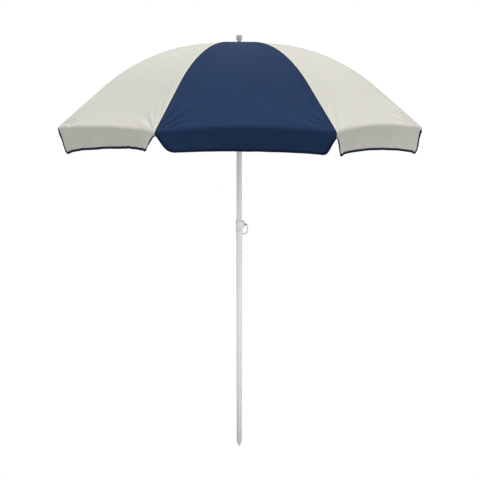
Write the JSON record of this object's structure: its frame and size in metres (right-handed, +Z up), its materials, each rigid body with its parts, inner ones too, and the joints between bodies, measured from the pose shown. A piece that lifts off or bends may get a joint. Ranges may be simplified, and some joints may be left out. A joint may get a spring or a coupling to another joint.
{
  "type": "beach umbrella",
  "caption": "Two-metre beach umbrella with a folding, valanced, two-colour canopy on curved ribs, a telescoping pole, a hook-screw height clamp and a ground spike.",
  "frame": {"origin": "point of the ground spike, on the pole's axis", "axes": "+Z up the pole; a navy panel faces -Y; the hook screw stands towards +X"},
  "size_m": [1.4668, 1.4668, 2],
  "materials": {
    "pole_white": "semi-gloss powder coat",
    "plastic_white": "moulded, satin",
    "plastic_grey": "moulded, satin",
    "steel_dark": "black oxide",
    "steel_bright": "zinc plated",
    "hook_white": "dipped plastic coat",
    "cloth_navy": "plain-woven polyester",
    "cloth_beige": "plain-woven polyester"
  },
  "bodies": {
    "lower_pole": {"lower_tube": "pole_white", "ground_spike": "plastic_white", "height_collar": "plastic_white", "collar_rivet_front": "steel_bright", "collar_rivet_back": "steel_bright", "screw_nut": "steel_bright"},
    "hook_screw": {"locking_screw": "steel_dark", "screw_hook": "hook_white"},
    "mast": {"upper_tube": "pole_white", "mast_plug": "plastic_grey", "crown_hub": "plastic_grey", "hub_wire": "steel_bright", "crown_washer": "plastic_white", "crown_cap": "plastic_white"},
    "runner": {"runner": "plastic_white"},
    "catch": {"runner_catch": "steel_bright"},
    "rib_1": {"rib_1": "pole_white", "rib_tip_1": "plastic_white", "canopy_navy_1": "cloth_navy", "canopy_beige_1": "cloth_beige"},
    "strut_1": {"strut_1": "pole_white"},
    "rib_2": {"rib_2": "pole_white", "rib_tip_2": "plastic_white", "canopy_beige_2": "cloth_beige", "canopy_navy_2": "cloth_navy"},
    "strut_2": {"strut_2": "pole_white"},
    "rib_3": {"rib_3": "pole_white", "rib_tip_3": "plastic_white", "canopy_navy_3": "cloth_navy", "canopy_beige_3": "cloth_beige"},
    "strut_3": {"strut_3": "pole_white"},
    "rib_4": {"rib_4": "pole_white", "rib_tip_4": "plastic_white", "canopy_beige_4": "cloth_beige", "canopy_navy_4": "cloth_navy"},
    "strut_4": {"strut_4": "pole_white"},
    "rib_5": {"rib_5": "pole_white", "rib_tip_5": "plastic_white", "canopy_navy_5": "cloth_navy", "canopy_beige_5": "cloth_beige"},
    "strut_5": {"strut_5": "pole_white"},
    "rib_6": {"rib_6": "pole_white", "rib_tip_6": "plastic_white", "canopy_beige_6": "cloth_beige", "canopy_navy_6": "cloth_navy"},
    "strut_6": {"strut_6": "pole_white"},
    "rib_7": {"rib_7": "pole_white", "rib_tip_7": "plastic_white", "canopy_navy_7": "cloth_navy", "canopy_beige_7": "cloth_beige"},
    "strut_7": {"strut_7": "pole_white"},
    "rib_8": {"rib_8": "pole_white", "rib_tip_8": "plastic_white", "canopy_beige_8": "cloth_beige", "canopy_navy_8": "cloth_navy"},
    "strut_8": {"strut_8": "pole_white"}
  },
  "joints": [
    {"name": "height", "type": "slide", "parent": "lower_pole", "child": "mast", "axis": [0, 0, 1], "range_m": [-0.02, 0.1]},
    {"name": "hook_turn", "type": "hinge", "parent": "lower_pole", "child": "hook_screw", "pos_m": [0.03, 0, 1.154], "axis": [1, 0, 0], "range_deg": [-180, 180]},
    {"name": "fold", "type": "slide", "parent": "mast", "child": "runner", "axis": [0, 0, -1], "range_m": [0, 0.40899], "deforming": ["runner_catch"]},
    {"name": "catch_press", "type": "slide", "parent": "mast", "child": "catch", "axis": [0, -1, 0], "range_m": [0, 0.0032], "stiffness_N_per_m": 1500},
    {"name": "rib_fold_1", "type": "hinge", "parent": "mast", "child": "rib_1", "pos_m": [0.01755, 0.00727, 1.956], "axis": [-0.3827, 0.9239, 0], "range_deg": [-0.05, 60.53], "deforming": ["canopy_navy_1", "canopy_beige_1"]},
    {"name": "strut_fold_1", "type": "hinge", "parent": "rib_1", "child": "strut_1", "pos_m": [0.3194, 0.1323, 1.90957], "axis": [0.3827, -0.9239, 0], "range_deg": [-0.05, 97.51]},
    {"name": "rib_fold_2", "type": "hinge", "parent": "mast", "child": "rib_2", "pos_m": [0.00727, 0.01755, 1.956], "axis": [-0.9239, 0.3827, 0], "range_deg": [-0.05, 60.53], "deforming": ["canopy_beige_2", "canopy_navy_2"]},
    {"name": "strut_fold_2", "type": "hinge", "parent": "rib_2", "child": "strut_2", "pos_m": [0.1323, 0.3194, 1.90957], "axis": [0.9239, -0.3827, 0], "range_deg": [-0.05, 97.51]},
    {"name": "rib_fold_3", "type": "hinge", "parent": "mast", "child": "rib_3", "pos_m": [-0.00727, 0.01755, 1.956], "axis": [-0.9239, -0.3827, 0], "range_deg": [-0.05, 60.53], "deforming": ["canopy_navy_3", "canopy_beige_3"]},
    {"name": "strut_fold_3", "type": "hinge", "parent": "rib_3", "child": "strut_3", "pos_m": [-0.1323, 0.3194, 1.90957], "axis": [0.9239, 0.3827, 0], "range_deg": [-0.05, 97.51]},
    {"name": "rib_fold_4", "type": "hinge", "parent": "mast", "child": "rib_4", "pos_m": [-0.01755, 0.00727, 1.956], "axis": [-0.3827, -0.9239, 0], "range_deg": [-0.05, 60.53], "deforming": ["canopy_beige_4", "canopy_navy_4"]},
    {"name": "strut_fold_4", "type": "hinge", "parent": "rib_4", "child": "strut_4", "pos_m": [-0.3194, 0.1323, 1.90957], "axis": [0.3827, 0.9239, 0], "range_deg": [-0.05, 97.51]},
    {"name": "rib_fold_5", "type": "hinge", "parent": "mast", "child": "rib_5", "pos_m": [-0.01755, -0.00727, 1.956], "axis": [0.3827, -0.9239, 0], "range_deg": [-0.05, 60.53], "deforming": ["canopy_navy_5", "canopy_beige_5"]},
    {"name": "strut_fold_5", "type": "hinge", "parent": "rib_5", "child": "strut_5", "pos_m": [-0.3194, -0.1323, 1.90957], "axis": [-0.3827, 0.9239, 0], "range_deg": [-0.05, 97.51]},
    {"name": "rib_fold_6", "type": "hinge", "parent": "mast", "child": "rib_6", "pos_m": [-0.00727, -0.01755, 1.956], "axis": [0.9239, -0.3827, 0], "range_deg": [-0.05, 60.53], "deforming": ["canopy_beige_6", "canopy_navy_6"]},
    {"name": "strut_fold_6", "type": "hinge", "parent": "rib_6", "child": "strut_6", "pos_m": [-0.1323, -0.3194, 1.90957], "axis": [-0.9239, 0.3827, 0], "range_deg": [-0.05, 97.51]},
    {"name": "rib_fold_7", "type": "hinge", "parent": "mast", "child": "rib_7", "pos_m": [0.00727, -0.01755, 1.956], "axis": [0.9239, 0.3827, 0], "range_deg": [-0.05, 60.53], "deforming": ["canopy_navy_7", "canopy_beige_7"]},
    {"name": "strut_fold_7", "type": "hinge", "parent": "rib_7", "child": "strut_7", "pos_m": [0.1323, -0.3194, 1.90957], "axis": [-0.9239, -0.3827, 0], "range_deg": [-0.05, 97.51]},
    {"name": "rib_fold_8", "type": "hinge", "parent": "mast", "child": "rib_8", "pos_m": [0.01755, -0.00727, 1.956], "axis": [0.3827, 0.9239, 0], "range_deg": [-0.05, 60.53], "deforming": ["canopy_beige_8", "canopy_navy_8"]},
    {"name": "strut_fold_8", "type": "hinge", "parent": "rib_8", "child": "strut_8", "pos_m": [0.3194, -0.1323, 1.90957], "axis": [-0.3827, -0.9239, 0], "range_deg": [-0.05, 97.51]}
  ],
  "couplings": [
    {"joint": "rib_fold_1", "follows": "fold", "rad_per_m": 2.5786},
    {"joint": "strut_fold_1", "follows": "fold", "rad_per_m": 4.1568},
    {"joint": "rib_fold_2", "follows": "fold", "rad_per_m": 2.5786},
    {"joint": "strut_fold_2", "follows": "fold", "rad_per_m": 4.1568},
    {"joint": "rib_fold_3", "follows": "fold", "rad_per_m": 2.5786},
    {"joint": "strut_fold_3", "follows": "fold", "rad_per_m": 4.1568},
    {"joint": "rib_fold_4", "follows": "fold", "rad_per_m": 2.5786},
    {"joint": "strut_fold_4", "follows": "fold", "rad_per_m": 4.1568},
    {"joint": "rib_fold_5", "follows": "fold", "rad_per_m": 2.5786},
    {"joint": "strut_fold_5", "follows": "fold", "rad_per_m": 4.1568},
    {"joint": "rib_fold_6", "follows": "fold", "rad_per_m": 2.5786},
    {"joint": "strut_fold_6", "follows": "fold", "rad_per_m": 4.1568},
    {"joint": "rib_fold_7", "follows": "fold", "rad_per_m": 2.5786},
    {"joint": "strut_fold_7", "follows": "fold", "rad_per_m": 4.1568},
    {"joint": "rib_fold_8", "follows": "fold", "rad_per_m": 2.5786},
    {"joint": "strut_fold_8", "follows": "fold", "rad_per_m": 4.1568}
  ]
}
